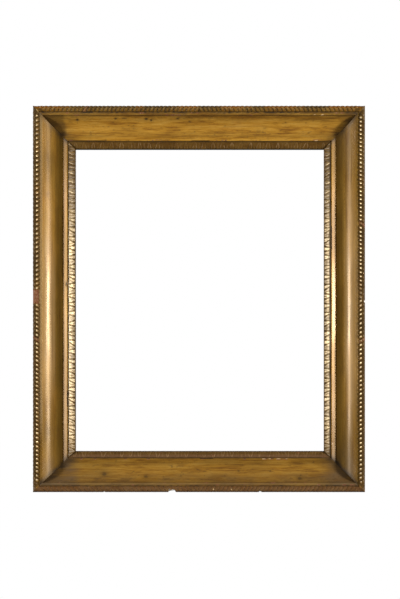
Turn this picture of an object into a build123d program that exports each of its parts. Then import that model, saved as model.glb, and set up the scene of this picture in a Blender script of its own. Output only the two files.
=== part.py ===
from build123d import *
import math
import os

# Ornate gilded picture frame. Millimetres, +X right, +Z up, the front faces -Y.
# The profile is drawn in u (from the outer edge towards the picture) and
# d (depth behind the crest of the outer moulding).

# ---- driving dimensions -------------------------------------------------
OUT_W = 650.0            # outer width
OUT_H = 756.0            # outer height
BACK_D = 56.0            # depth of the back plane
Y_FRONT = -31.4          # y of the crest of the outer moulding (d = 0)

BED_D = 7.5              # bed of the outer moulding
ROPE_U0, ROPE_U1 = 0.2, 12.0
ROPE_CREST_U = 6.6       # crest of the outer moulding
ROPE_OUT_D = 6.0         # foot of its outer round
ROPE_IN_D = 3.8          # foot of its inner round

GROOVE_D = 5.4           # a shallow groove lies between the outer moulding and the band
FILLET_U0 = 14.2
FILLET_D = 4.2           # flat band inside the groove
FILLET_U1 = 18.6
HOLLOW_D0 = 6.2          # start of the hollow
HOLLOW_U0 = 18.8
HOLLOW_LOW_U = 50.0      # lowest point of the hollow
HOLLOW_LOW_D = 24.4
HOLLOW_R = 34.0          # inner, flatter arc
HOLLOW_MID_A = 40.0      # slope where the two arcs meet, degrees
HOLLOW_END_A = -10.0     # slope at the foot of the bevel, degrees
BEVEL_U1 = 63.6
BEVEL_D1 = 19.9
CREST_U1 = 64.6

SEAT_U = 65.0            # wall between rail and sight moulding
SEAT_D = 33.0            # ledge that carries the sight moulding
REBATE_U = 72.5          # side wall of the rebate
LIP_D = 36.0             # seat for the picture
SIGHT_U = 78.5           # sight edge

KEY_LEN = 56.0           # butterfly key, across the mitre
KEY_WAIST = 11.0
KEY_END = 21.0
KEY_DEEP = 10.0
KEY_U = 36.0             # centre of the key on the mitre line

NAIL_R = 1.3
NAIL_LEN = 62.0
NAIL_HEAD_R = 2.6
NAIL_HEAD_T = 1.2
NAIL_SET = 0.6           # heads driven below the surface
NAIL_FIT = 0.04
NAIL_A, NAIL_A_D = 30.0, 36.0    # nails from the top and bottom: along, depth
NAIL_B, NAIL_B_D = 24.0, 43.0    # nails from the sides: along, depth

RING_Z = 566.0           # pivot height of the hanging rings
RING_U = 36.0            # from the outer edge
RING_WIRE = 1.6
RING_HALF = 13.0         # half width at the wire's centre line
RING_DROP = 21.0         # pivot to the centre line of the bow
RING_CORNER = 3.0
PIVOT_D = BACK_D + 3.6
STRAP_W = 16.0
STRAP_T = 1.5
STRAP_LEN = 60.0         # pivot to the lower end
KNUCKLE_R = 3.2
KNUCKLE_BORE = RING_WIRE + 0.08
STRAP_HOLE_R = 2.0
STRAP_HOLES = (31.0, 50.0)       # below the pivot

SCREW_R = 1.8
SCREW_LEN = 18.0
SCREW_HEAD_R = 3.7
SCREW_HEAD_H = 2.3
SLOT_W = 0.9
SLOT_T = 1.0

BUTTON_U = 61.5          # turn-button screw from the outer edge
BUTTON_Z = (150.0, 606.0)
BUTTON_TIP = 15.6        # screw to the tip of the tongue
BUTTON_TAIL = 5.5
BUTTON_W = 11.0
BUTTON_TIP_W = 8.0
BUTTON_T = 1.6
BUTTON_GAP = 0.15        # off the back of the rail
BUTTON_BORE = SCREW_R + 0.08
BUTTON_LEN = 20.0        # screw, under the head

os.makedirs("parts", exist_ok=True)


def y_of(d):
    return Y_FRONT + d


def out(shape, name):
    shape.label = name
    export_step(shape, "parts/" + name + ".step")


def group(solids, name):
    out(Compound(children=list(solids)), name)


# ---- sections in u, d ---------------------------------------------------
def arc_point(angle):
    """A point of the inner arc of the hollow where its slope is angle."""
    a = math.radians(angle)
    return (HOLLOW_LOW_U - HOLLOW_R * math.sin(a),
            HOLLOW_LOW_D - HOLLOW_R * (1.0 - math.cos(a)))


def rail_section():
    mid = arc_point(HOLLOW_MID_A)
    low = arc_point(0.5 * (HOLLOW_MID_A + HOLLOW_END_A))
    end = arc_point(HOLLOW_END_A)
    start = (HOLLOW_U0, HOLLOW_D0)
    # the outer arc leaves the inner one at the same slope
    a = math.radians(HOLLOW_MID_A)
    back = (-math.cos(a), -math.sin(a))
    edges = [
        Polyline((0, BED_D), (ROPE_U1, BED_D), (ROPE_U1, GROOVE_D),
                 (FILLET_U0, GROOVE_D), (FILLET_U0, FILLET_D),
                 (FILLET_U1, FILLET_D), start),
        TangentArc(mid, start, tangent=back),
        ThreePointArc(mid, low, end),
        Polyline(end, (BEVEL_U1, BEVEL_D1), (CREST_U1, BEVEL_D1),
                 (SEAT_U, BEVEL_D1 + 0.4), (SEAT_U, SEAT_D),
                 (REBATE_U, SEAT_D), (REBATE_U, BACK_D), (0, BACK_D),
                 (0, BED_D)),
    ]
    return make_face(edges)


def round_mid(u0, d0, u1, d1):
    """The middle point of an arc that is level at (u0, d0) and ends at (u1, d1)."""
    du, dd = u1 - u0, d1 - d0
    r = (du * du + dd * dd) / (2.0 * dd)
    a = 0.5 * math.atan2(abs(du), r - dd)
    return (u0 + math.copysign(r * math.sin(a), du), d0 + r * (1.0 - math.cos(a)))


def rope_section():
    crest = (ROPE_CREST_U, 0.0)
    foot_out = (ROPE_U0, ROPE_OUT_D)
    foot_in = (ROPE_U1, ROPE_IN_D)
    edges = [
        Polyline(foot_in, (ROPE_U1, BED_D), (ROPE_U0, BED_D), foot_out),
        ThreePointArc(foot_out, round_mid(*crest, *foot_out), crest),
        ThreePointArc(crest, round_mid(*crest, *foot_in), foot_in),
    ]
    return make_face(edges)


def sight_section():
    pts = [(SEAT_U, SEAT_D), (SEAT_U, 21.7), (66.3, 21.0), (77.3, 29.0),
           (SIGHT_U, 30.6), (SIGHT_U, LIP_D), (REBATE_U, LIP_D),
           (REBATE_U, SEAT_D), (SEAT_U, SEAT_D)]
    return make_face(Polyline(*pts))


# ---- mitred lengths -----------------------------------------------------
HALF_TURN = (Location((0, 0, OUT_H / 2)) * Rotation(0, 180, 0)
             * Location((0, 0, -OUT_H / 2)))


def wedge(side):
    """The trapezoid that one side of the frame may fill."""
    m = 110.0
    w, h = OUT_W / 2, OUT_H
    if side == "bottom":
        pts = [(-w, 0), (w, 0), (w - m, m), (-w + m, m), (-w, 0)]
    else:
        pts = [(-w, 0), (-w + m, m), (-w + m, h - m), (-w, h), (-w, 0)]
    return extrude(Plane.XZ * make_face(Polyline(*pts)), amount=200, both=True)


def run(section, side):
    """One mitred length of a section along the bottom or the left side."""
    if side == "bottom":
        plane = Plane(origin=(-OUT_W / 2, Y_FRONT, 0), x_dir=(0, 0, 1),
                      z_dir=(-1, 0, 0))
        length = OUT_W
    else:
        plane = Plane(origin=(-OUT_W / 2, Y_FRONT, 0), x_dir=(1, 0, 0),
                      z_dir=(0, 0, 1))
        length = OUT_H
    prism = extrude(plane * section, amount=length if side == "left" else -length)
    return prism & wedge(side)


def four(section):
    bottom = run(section, "bottom")
    left = run(section, "left")
    return {"bottom": bottom, "left": left,
            "top": HALF_TURN * bottom, "right": HALF_TURN * left}


rails = four(rail_section())
ropes = four(rope_section())
sights = four(sight_section())

CORNERS = {
    "top_left": (-1, 1), "top_right": (1, 1),
    "bottom_left": (-1, -1), "bottom_right": (1, -1),
}


def corner_point(sx, sz, a, b):
    """Global x and z of a point a along the top or bottom and b up or down the side."""
    return (sx * (OUT_W / 2 - a), OUT_H / 2 + sz * (OUT_H / 2 - b))


# ---- butterfly keys in the back ------------------------------------------
def key_face():
    h = KEY_LEN / 2
    return make_face(Polyline((-h, -KEY_END / 2), (0, -KEY_WAIST / 2),
                              (h, -KEY_END / 2), (h, KEY_END / 2),
                              (0, KEY_WAIST / 2), (-h, KEY_END / 2),
                              (-h, -KEY_END / 2)))


keys = {}
for name, (sx, sz) in CORNERS.items():
    x, z = corner_point(sx, sz, KEY_U, KEY_U)
    # the long axis of the key lies square to the mitre line
    plane = Plane(origin=(x, y_of(BACK_D), z), x_dir=(sx, 0, -sz),
                  z_dir=(0, -1, 0))
    keys[name] = extrude(plane * key_face(), amount=KEY_DEEP)

KEY_RAILS = {"top_left": ("top", "left"), "top_right": ("top", "right"),
             "bottom_left": ("bottom", "left"),
             "bottom_right": ("bottom", "right")}
for name, key in keys.items():
    for side in KEY_RAILS[name]:
        rails[side] = rails[side] - key


# ---- mitre nails ---------------------------------------------------------
def turned(points, place):
    """A solid of revolution about its own z from (r, z) points."""
    face = Plane.XZ * make_face(Polyline(*points, points[0]))
    return place * revolve(face, axis=Axis.Z, revolution_arc=360)


def nail(grow, flush):
    r = NAIL_R + grow
    hr = NAIL_HEAD_R + grow
    top = 1.0 if flush else 0.0
    return [(0, top), (hr, top), (hr, -NAIL_HEAD_T), (r, -NAIL_HEAD_T - 1.2),
            (r, -NAIL_LEN + 6.0), (0.3 + grow, -NAIL_LEN - grow),
            (0, -NAIL_LEN - grow)]


nails = []
for name, (sx, sz) in CORNERS.items():
    for along, depth, vertical in ((NAIL_A, NAIL_A_D, True),
                                   (NAIL_B, NAIL_B_D, False)):
        if vertical:
            x, z = corner_point(sx, sz, along, NAIL_SET)
            zdir, xdir = (0, 0, sz), (1, 0, 0)
        else:
            x, z = corner_point(sx, sz, NAIL_SET, along)
            zdir, xdir = (sx, 0, 0), (0, 0, 1)
        place = Plane(origin=(x, y_of(depth), z), x_dir=xdir, z_dir=zdir).location
        nails.append(turned(nail(0.0, False), place))
        hole = turned(nail(NAIL_FIT, True), place)
        for side in KEY_RAILS[name]:
            rails[side] = rails[side] - hole


# ---- hanging hardware ----------------------------------------------------
def screw(length, head_d, x, z, turn):
    """A slotted round-head screw driven into the back; the head's underside is at head_d."""
    tip = 5.0
    pts = [(0, -length), (0.25, -length), (SCREW_R, -length + tip),
           (SCREW_R, 0), (SCREW_HEAD_R, 0), (SCREW_HEAD_R, 0.5)]
    body = [(0, -length)] + pts[1:]
    curve = [
        Polyline(*body),
        ThreePointArc((SCREW_HEAD_R, 0.5), (SCREW_HEAD_R * 0.72, 1.72),
                      (0, SCREW_HEAD_H)),
        Line((0, SCREW_HEAD_H), (0, -length)),
    ]
    solid = revolve(Plane.XZ * make_face(curve), axis=Axis.Z, revolution_arc=360)
    slot = Rotation(0, 0, turn) * Pos(0, 0, SCREW_HEAD_H) * Box(
        3 * SCREW_HEAD_R, SLOT_W, 2 * SLOT_T)
    place = Plane(origin=(x, y_of(head_d), z), x_dir=(1, 0, 0),
                  z_dir=(0, 1, 0)).location
    return place * (solid - slot)


def pilot(length, head_d, x, z):
    """The hole a screw cuts for itself."""
    tip = 5.0
    pts = [(0, -length), (0.25, -length), (SCREW_R, -length + tip),
           (SCREW_R, 4.0), (0, 4.0)]
    place = Plane(origin=(x, y_of(head_d), z), x_dir=(1, 0, 0),
                  z_dir=(0, 1, 0)).location
    return turned(pts, place)


def ring(x):
    r, c = RING_HALF, RING_CORNER
    drop = RING_DROP - r
    q = c * (1.0 - math.sqrt(0.5))
    bar_end, side_top = r - c, -c
    path = Wire([
        Line((-bar_end, 0, 0), (bar_end, 0, 0)),
        ThreePointArc((bar_end, 0, 0), (r - q, 0, -q), (r, 0, side_top)),
        Line((r, 0, side_top), (r, 0, -drop)),
        ThreePointArc((r, 0, -drop), (0, 0, -drop - r), (-r, 0, -drop)),
        Line((-r, 0, -drop), (-r, 0, side_top)),
        ThreePointArc((-r, 0, side_top), (-r + q, 0, -q), (-bar_end, 0, 0)),
    ])
    wire = Plane(origin=(0, 0, 0), x_dir=(0, 1, 0), z_dir=(1, 0, 0)) * Circle(RING_WIRE)
    wire = Pos(-bar_end, 0, 0) * wire
    return Pos(x, y_of(PIVOT_D), RING_Z) * sweep(wire, path=path)


def strap(x):
    """A plate rolled into a knuckle around the straight bar of the ring."""
    w = STRAP_W
    plate = Pos(0, STRAP_T / 2, -STRAP_LEN / 2) * Box(w, STRAP_T, STRAP_LEN)
    tail = Pos(0, STRAP_T / 2, -STRAP_LEN) * Rotation(90, 0, 0) * Cylinder(w / 2, STRAP_T)
    up = PIVOT_D - BACK_D
    roll = Pos(0, up, 0) * Rotation(0, 90, 0) * Cylinder(KNUCKLE_R, w)
    body = plate + tail + roll
    body = body - Pos(0, up, 0) * Rotation(0, 90, 0) * Cylinder(KNUCKLE_BORE, 2 * w)
    for h in STRAP_HOLES:
        body = body - Pos(0, 0, -h) * Rotation(90, 0, 0) * Cylinder(STRAP_HOLE_R, 20)
    return Pos(x, y_of(BACK_D), RING_Z) * body


strap_screws = []
for side, sx, turns in (("left", -1, (25, 100)), ("right", 1, (70, 150))):
    x = sx * (OUT_W / 2 - RING_U)
    out(strap(x), "hanger_strap_" + side)
    out(ring(x), "hanger_ring_" + side)
    for h, turn in zip(STRAP_HOLES, turns):
        head = BACK_D + STRAP_T
        strap_screws.append(screw(SCREW_LEN, head, x, RING_Z - h, turn))
        rails[side] = rails[side] - pilot(SCREW_LEN, head, x, RING_Z - h)
group(strap_screws, "hanger_screws")


# ---- turn-buttons --------------------------------------------------------
def button(x, z):
    """A flat tongue on one screw, lying along the rail."""
    w, t = BUTTON_W / 2, BUTTON_TIP_W / 2
    tip = BUTTON_TIP - t
    edges = [
        Line((-w, 0), (-t, tip)),
        ThreePointArc((-t, tip), (0, BUTTON_TIP), (t, tip)),
        Line((t, tip), (w, 0)),
        ThreePointArc((w, 0), (0, -BUTTON_TAIL), (-w, 0)),
    ]
    face = make_face(edges) - Circle(BUTTON_BORE)
    plane = Plane(origin=(x, y_of(BACK_D + BUTTON_GAP), z), x_dir=(-1, 0, 0),
                  z_dir=(0, 1, 0))
    return extrude(plane * face, amount=BUTTON_T)


button_screws = []
for side, sx in (("left", -1), ("right", 1)):
    for level, z, turn in zip(("lower", "upper"), BUTTON_Z, (40, 115)):
        x = sx * (OUT_W / 2 - BUTTON_U)
        out(button(x, z), "turn_button_" + side + "_" + level)
        head = BACK_D + BUTTON_T + 2 * BUTTON_GAP
        button_screws.append(screw(BUTTON_LEN, head, x, z, turn + 20 * sx))
        rails[side] = rails[side] - pilot(BUTTON_LEN, head, x, z)
group(button_screws, "turn_button_screws")

# ---- the rest ------------------------------------------------------------
for side in ("top", "bottom", "left", "right"):
    out(rails[side], "rail_" + side)
    out(ropes[side], "rope_" + side)
    out(sights[side], "sight_" + side)
for name, key in keys.items():
    out(key, "corner_key_" + name)
group(nails, "corner_nails")
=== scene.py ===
import math

import bmesh
import bpy
import numpy as np
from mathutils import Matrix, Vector
from mathutils.geometry import tessellate_polygon


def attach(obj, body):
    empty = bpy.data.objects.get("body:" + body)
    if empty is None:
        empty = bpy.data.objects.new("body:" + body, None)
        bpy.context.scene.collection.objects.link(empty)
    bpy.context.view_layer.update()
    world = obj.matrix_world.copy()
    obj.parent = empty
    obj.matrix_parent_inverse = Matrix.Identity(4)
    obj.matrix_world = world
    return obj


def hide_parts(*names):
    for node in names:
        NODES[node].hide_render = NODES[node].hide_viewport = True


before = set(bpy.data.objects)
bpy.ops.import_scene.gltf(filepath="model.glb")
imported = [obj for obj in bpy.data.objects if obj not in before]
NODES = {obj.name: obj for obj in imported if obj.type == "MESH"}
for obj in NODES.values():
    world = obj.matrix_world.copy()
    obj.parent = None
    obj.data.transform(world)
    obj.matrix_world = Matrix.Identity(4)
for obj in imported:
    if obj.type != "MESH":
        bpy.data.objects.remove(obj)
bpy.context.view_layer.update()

# ---- dimensions of the model, millimetres -------------------------------
W, H = 650.0, 756.0
Y0 = -31.4               # y of the crest of the outer moulding
BACK = 56.0
BED = 7.5
ROPE_U0, ROPE_U1 = 0.2, 12.0
ROPE_CREST = 6.6
ROPE_OUT_D = 6.0
GROOVE_D = 4.5           # the groove beside the outer moulding, half filled with gesso
FILLET_U0, FILLET_U1, FILLET_D = 14.2, 18.6, 4.2
HOLLOW_U0, HOLLOW_D0 = 18.8, 6.2
HOLLOW_LOW_U, HOLLOW_LOW_D, HOLLOW_R = 50.0, 24.4, 34.0
HOLLOW_MID_A, HOLLOW_END_A = 40.0, -10.0
BEVEL_U1, BEVEL_D1 = 63.6, 19.9
SEAT_U, SEAT_D = 65.0, 33.0
REBATE_U = 72.5
LIP_D, SIGHT_U = 36.0, 78.5
KEY_LEN, KEY_WAIST, KEY_END, KEY_DEEP, KEY_U = 56.0, 11.0, 21.0, 10.0, 36.0

SIDES = ("bottom", "top", "left", "right")
SEED = {"bottom": 11, "top": 23, "left": 37, "right": 53}
FLAT = ("bottom", "top")


def side_length(side):
    return W if side in FLAT else H


def place(side, t, u, d):
    """Metres in the shared frame from t along a side, u in from the outer edge, d deep."""
    if side == "bottom":
        x, z = -W / 2 + t, u
    elif side == "top":
        x, z = -W / 2 + t, H - u
    elif side == "left":
        x, z = -W / 2 + u, t
    else:
        x, z = W / 2 - u, t
    return np.stack([x, Y0 + d + 0 * x, z + 0 * x], -1) * 0.001


# ---- seeded noise ---------------------------------------------------------
def hashed(ix, iy, seed):
    h = (ix.astype(np.int64) * 374761393 + iy.astype(np.int64) * 668265263
         + int(seed) * 974634721) & 0xFFFFFFFF
    h = ((h ^ (h >> 13)) * 1274126177) & 0xFFFFFFFF
    h = ((h ^ (h >> 15)) * 2246822519) & 0xFFFFFFFF
    h = h ^ (h >> 16)
    return (h & 0xFFFFFF) / float(0xFFFFFF)


def noise(x, y, seed):
    """Smooth value noise from -1 to 1."""
    x, y = np.broadcast_arrays(np.asarray(x, float), np.asarray(y, float))
    x0, y0 = np.floor(x), np.floor(y)
    fx, fy = x - x0, y - y0
    fx = fx * fx * fx * (fx * (fx * 6 - 15) + 10)
    fy = fy * fy * fy * (fy * (fy * 6 - 15) + 10)
    a = hashed(x0, y0, seed)
    b = hashed(x0 + 1, y0, seed)
    c = hashed(x0, y0 + 1, seed)
    d = hashed(x0 + 1, y0 + 1, seed)
    low = a + (b - a) * fx
    high = c + (d - c) * fx
    return 2 * (low + (high - low) * fy) - 1


def fbm(x, y, seed, octaves=4):
    total, weight, size = 0.0, 0.5, 0.0
    for k in range(octaves):
        total = total + weight * noise(x * 2 ** k, y * 2 ** k, seed + 101 * k)
        size += weight
        weight *= 0.55
    return total / size


def step(a, b, x):
    q = np.clip((np.asarray(x, float) - a) / (b - a), 0.0, 1.0)
    return q * q * (3 - 2 * q)


def bump(x, centre, half, soft):
    """1 within half of centre, falling to 0 over soft."""
    return 1.0 - step(half, half + soft, np.abs(np.asarray(x, float) - centre))


# ---- profiles in u, d -----------------------------------------------------
def rounded(points, spacing):
    """Points (u, d, radius) of an open path, sampled, with its corners eased."""
    out = []

    def add(p):
        if not out or math.dist(out[-1], p) > 1e-5:
            out.append((float(p[0]), float(p[1])))

    def straight(a, b):
        n = max(1, int(round(math.dist(a, b) / spacing)))
        for k in range(1, n + 1):
            q = k / n
            add((a[0] + (b[0] - a[0]) * q, a[1] + (b[1] - a[1]) * q))

    last = points[0][:2]
    add(last)
    for i in range(1, len(points)):
        u, d, r = points[i]
        if r > 0 and i < len(points) - 1:
            a, b, c = (np.array(points[j][:2], float) for j in (i - 1, i, i + 1))
            va, vc = a - b, c - b
            la, lc = np.linalg.norm(va), np.linalg.norm(vc)
            cosine = float(np.clip(va @ vc / la / lc, -1, 1))
            cut = min(r / max(math.tan(math.acos(cosine) / 2), 1e-6), 0.45 * la, 0.45 * lc)
            p, q = b + va / la * cut, b + vc / lc * cut
            straight(last, tuple(p))
            for k in range(1, 5):
                s = k / 5
                add(tuple((1 - s) ** 2 * p + 2 * s * (1 - s) * b + s * s * q))
            add(tuple(q))
            last = tuple(q)
        else:
            straight(last, (u, d))
            last = (u, d)
    return out


def hollow_points(n_out, n_in):
    """The hollow, from its steep start to the foot of the bevel."""
    def on_inner(angle):
        a = math.radians(angle)
        return np.array((HOLLOW_LOW_U - HOLLOW_R * math.sin(a),
                         HOLLOW_LOW_D - HOLLOW_R * (1 - math.cos(a))))

    start = np.array((HOLLOW_U0, HOLLOW_D0))
    mid = on_inner(HOLLOW_MID_A)
    a = math.radians(HOLLOW_MID_A)
    normal = np.array((math.sin(a), -math.cos(a)))
    chord = start - mid
    r = chord @ chord / (2 * normal @ chord)
    centre = mid + r * normal
    a0 = math.atan2(*(start - centre)[::-1])
    a1 = math.atan2(*(mid - centre)[::-1])
    if a1 - a0 > math.pi:
        a1 -= 2 * math.pi
    if a0 - a1 > math.pi:
        a1 += 2 * math.pi
    pts = [tuple(centre + abs(r) * np.array((math.cos(x), math.sin(x))))
           for x in np.linspace(a0, a1, n_out)]
    pts += [tuple(on_inner(x)) for x in np.linspace(HOLLOW_MID_A, HOLLOW_END_A, n_in)[1:]]
    return pts


def arc_from_crest(u1, d1, n):
    """From the crest of the outer moulding (level) to a foot at (u1, d1)."""
    du, dd = u1 - ROPE_CREST, d1
    r = (du * du + dd * dd) / (2 * dd)
    top = math.atan2(abs(du), r - dd)
    s = math.copysign(1.0, du)
    return [(ROPE_CREST + s * r * math.sin(a), r * (1 - math.cos(a)))
            for a in np.linspace(0, top, n)]


class Profile:
    """A closed loop of section points, with its outward normals and girth."""

    def __init__(self, points, front):
        p = np.array(points, float)
        self.u, self.d = p[:, 0], p[:, 1]
        self.front = np.array(front, float)
        tangent = np.roll(p, -1, 0) - np.roll(p, 1, 0)
        normal = np.stack([tangent[:, 1], -tangent[:, 0]], 1)
        normal /= np.maximum(np.linalg.norm(normal, axis=1), 1e-9)[:, None]
        area = 0.5 * np.sum(p[:, 0] * np.roll(p[:, 1], -1) - np.roll(p[:, 0], -1) * p[:, 1])
        self.n = normal * math.copysign(1.0, area)
        step_len = np.linalg.norm(np.roll(p, -1, 0) - p, axis=1)
        self.s = np.concatenate([[0.0], np.cumsum(step_len)[:-1]])
        self.girth = float(step_len.sum())


def rail_profile():
    hollow = hollow_points(16, 36)
    front = rounded(
        [(0, 9.0, 0), (0, BED, 0.9), (ROPE_U1, BED, 0), (ROPE_U1, GROOVE_D, 0.2),
         (FILLET_U0, GROOVE_D, 0.35), (FILLET_U0, FILLET_D, 0.6),
         (FILLET_U1, FILLET_D, 0.55), (*hollow[0], 0.4)]
        + [(*p, 0) for p in hollow[1:-1]]
        + [(*hollow[-1], 0.8), (BEVEL_U1, BEVEL_D1, 0.9), (SEAT_U - 0.3, BEVEL_D1, 0.35),
           (SEAT_U, BEVEL_D1 + 0.5, 0), (SEAT_U, 26.0, 0)], 1.0)
    rest = rounded([(SEAT_U, 26.0, 0), (SEAT_U, SEAT_D, 0), (REBATE_U, SEAT_D, 0.3),
                    (REBATE_U, BACK, 0.7), (0, BACK, 0.9), (0, 9.0, 0)], 2.8)[1:-1]
    return Profile(front + rest, [1] * len(front) + [0] * len(rest))


def rope_profile():
    outer = arc_from_crest(ROPE_U0, ROPE_OUT_D, 22)[::-1]
    inner = rounded([(ROPE_CREST, 0, 0), (7.9, 0.45, 1.2), (11.35, 2.75, 0.9),
                     (ROPE_U1, 4.2, 0)], 0.42)[1:]
    front = ([(ROPE_U0, BED), (ROPE_U0, 6.7)] + outer + inner
             + [(ROPE_U1, 4.8), (ROPE_U1, 5.5), (ROPE_U1, 6.4), (ROPE_U1, BED)])
    rest = [(8.2, BED), (4.2, BED)]
    return Profile(front + rest, [1] * len(front) + [0] * len(rest))


def sight_profile():
    front = rounded([(SEAT_U, 24.0, 0), (SEAT_U, 21.7, 0.2), (66.3, 21.0, 0.5)], 0.5)
    slope = [(66.3 + 11.0 * q, 21.0 + 8.0 * q) for q in np.linspace(0, 1, 31)][1:-1]
    slope = [p for p in slope if p[0] > front[-1][0] + 0.2]
    front = front + slope + rounded([(77.3, 29.0, 0), (77.9, 29.75, 0), (SIGHT_U, 30.7, 0.5),
                                     (SIGHT_U, LIP_D, 0.3), (76.5, LIP_D, 0)], 0.7)
    rest = rounded([(76.5, LIP_D, 0), (REBATE_U, LIP_D, 0), (REBATE_U, SEAT_D, 0),
                    (SEAT_U, SEAT_D, 0), (SEAT_U, 24.0, 0)], 3.0)[1:-1]
    return Profile(front + rest, [1] * len(front) + [0] * len(rest))


# ---- swept, mitred strips ----------------------------------------------------
def rows_of(length, spacing, ends=(0.0, 0.4, 1.0, 1.9)):
    first = np.array(ends) / length
    n = max(8, int((length - 2 * ends[-1] - 2 * spacing) / spacing))
    middle = np.linspace((ends[-1] + spacing) / length,
                         1 - (ends[-1] + spacing) / length, n)
    return np.concatenate([first, middle, 1 - first[::-1]])


def cap(u, d):
    """Triangles that close one end of a strip, turned the way its outline runs."""
    outline = [Vector((a, b, 0.0)) for a, b in zip(u, d)]
    area = np.sum(u * np.roll(d, -1) - np.roll(u, -1) * d)
    made = []
    for i, j, k in tessellate_polygon([outline]):
        turn = (u[j] - u[i]) * (d[k] - d[i]) - (u[k] - u[i]) * (d[j] - d[i])
        made.append((i, j, k) if turn * area > 0 else (i, k, j))
    return made


def strip(name, side, prof, spacing, field, bands):
    """One mitred length whose surface is moved by field, with its own bake map."""
    length = side_length(side)
    tau = rows_of(length, spacing)
    rows, cols = len(tau), len(prof.u)
    uu = np.broadcast_to(prof.u, (rows, cols))
    dd = np.broadcast_to(prof.d, (rows, cols))
    ss = np.broadcast_to(prof.s, (rows, cols))
    tt = uu + tau[:, None] * (length - 2 * uu)
    ends = np.minimum(tt - uu, length - uu - tt)
    got = field(side, length, tt, uu, dd, ss, ends, prof)
    move = got.pop("move")
    clamp = got.pop("clamp", None)
    nu = uu + move * prof.n[:, 0]
    nd = dd + move * prof.n[:, 1]
    if clamp is not None:
        nu = np.maximum(nu, clamp)
    nt = nu + tau[:, None] * (length - 2 * nu)
    co = place(side, nt, nu, nd)

    index = np.arange(rows * cols).reshape(rows, cols)
    nxt = np.roll(index, -1, 1)
    quads = np.stack([index[:-1], index[1:], nxt[1:], nxt[:-1]], -1).reshape(-1, 4)
    caps = [list(f) for f in cap(nu[0], nd[0])]
    caps += [[index[-1][i] for i in f[::-1]] for f in cap(nu[-1], nd[-1])]
    # the front has to face -Y
    c = int(np.argmax(prof.front * -prof.n[:, 1]))
    r = rows // 2
    a, b, e = co[r, c], co[r + 1, c], co[r, (c + 1) % cols]
    flip = np.cross(b - a, e - a)[1] > 0
    faces = quads.tolist()
    if flip:
        faces = quads[:, ::-1].tolist()
        caps = [x[::-1] for x in caps]
    mesh = bpy.data.meshes.new(name)
    mesh.from_pydata(co.reshape(-1, 3).tolist(), [], faces + caps)

    # bake map: the length cut into bands, one above the other
    per = math.ceil((rows - 1) / bands)
    fr = np.concatenate([prof.s, [prof.girth]]) / prof.girth
    rr, cc = np.meshgrid(np.arange(rows - 1), np.arange(cols), indexing="ij")
    band = rr // per
    top = 0.985
    corner_r = np.stack([rr, rr + 1, rr + 1, rr], -1) - (band * per)[..., None]
    corner_c = np.stack([cc, cc, cc + 1, cc + 1], -1)
    uvx = 0.004 + 0.992 * corner_r / per
    uvy = (band[..., None] + 0.012 + 0.976 * fr[corner_c]) / bands * top
    uv = np.stack([uvx, uvy], -1).reshape(-1, 4, 2)
    if flip:
        uv = uv[:, ::-1]
    around = 2 * math.pi * (np.array(caps).ravel() % cols) / cols
    far_end = np.array(caps).ravel() >= cols
    cap_uv = np.stack([0.3 + 0.4 * far_end + 0.006 * np.cos(around), 0.9925 + 0.006 * np.sin(around)], -1)
    layer = mesh.uv_layers.new(name="OFBake")
    layer.uv.foreach_set("vector", np.concatenate([uv.reshape(-1, 2), cap_uv]).astype(np.float32).ravel())

    for key, value in got.items():
        attribute = mesh.attributes.new(key, "FLOAT", "POINT")
        attribute.data.foreach_set("value", np.broadcast_to(value, (rows, cols)).astype(np.float32).ravel())
    coords = np.stack([nt * 0.001, ss * 0.001, np.full_like(nt, SEED[side] * 0.37)], -1)
    attribute = mesh.attributes.new("rco", "FLOAT_VECTOR", "POINT")
    attribute.data.foreach_set("vector", coords.astype(np.float32).ravel())
    mesh.polygons.foreach_set("use_smooth", np.arange(len(mesh.polygons)) < len(faces))
    mesh.set_sharp_from_angle(angle=math.radians(62))
    mesh.update()
    obj = bpy.data.objects.new(name, mesh)
    bpy.context.scene.collection.objects.link(obj)
    return obj


# ---- wear and age, in t along a side and u -----------------------------------------
# dark pits and scuffs: side, t, u, half length, half width, depth
PITS = (
    ("top", 85.6, 25.5, 3.2, 2.2, 0.6), ("top", 161.0, 23.6, 3.6, 1.8, 0.5),
    ("top", 178.0, 23.0, 6.5, 1.2, 0.3), ("top", 221.0, 24.0, 5.5, 2.2, 0.6),
    ("top", 230.5, 26.0, 3.4, 2.0, 0.5), ("top", 282.5, 23.6, 4.6, 1.7, 0.4),
    ("top", 306.0, 28.0, 2.8, 1.5, 0.3), ("top", 442.0, 44.7, 7.5, 3.6, 0.02),
    ("top", 453.8, 39.3, 4.5, 2.2, 0.02),
    ("bottom", 137.5, 34.0, 6.5, 4.4, 0.15), ("bottom", 219.7, 29.5, 5.5, 3.6, 0.08),
    ("bottom", 523.0, 26.0, 6.5, 3.6, 0.15), ("bottom", 402.0, 40.0, 3.0, 1.8, 0.10),
    ("left", 409.0, 62.6, 5.0, 1.9, 0.5),
)
# open joints along the quirk: side, t0, t1
GAPS = (("top", 69.0, 140.0), ("top", 312.0, 343.0), ("bottom", 328.0, 350.0),
        ("left", 170.0, 196.0), ("right", 480.0, 520.0))
# flaked patches along the inner crest: side, t0, t1
FLAKES = (("bottom", 449.0, 503.0), ("top", 549.0, 570.0), ("bottom", 112.0, 122.0),
          ("top", 236.0, 250.0), ("right", 96.0, 104.0))
# losses of the outer edge: side, t, half length, how far in
LOSSES = (("bottom", 272.6, 7.4, 4.6), ("bottom", 445.0, 2.6, 1.8), ("right", 373.0, 2.4, 1.3),
          ("bottom", 140.0, 2.0, 1.0), ("top", 610.0, 2.2, 1.0), ("left", 90.0, 2.0, 0.9))
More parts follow.
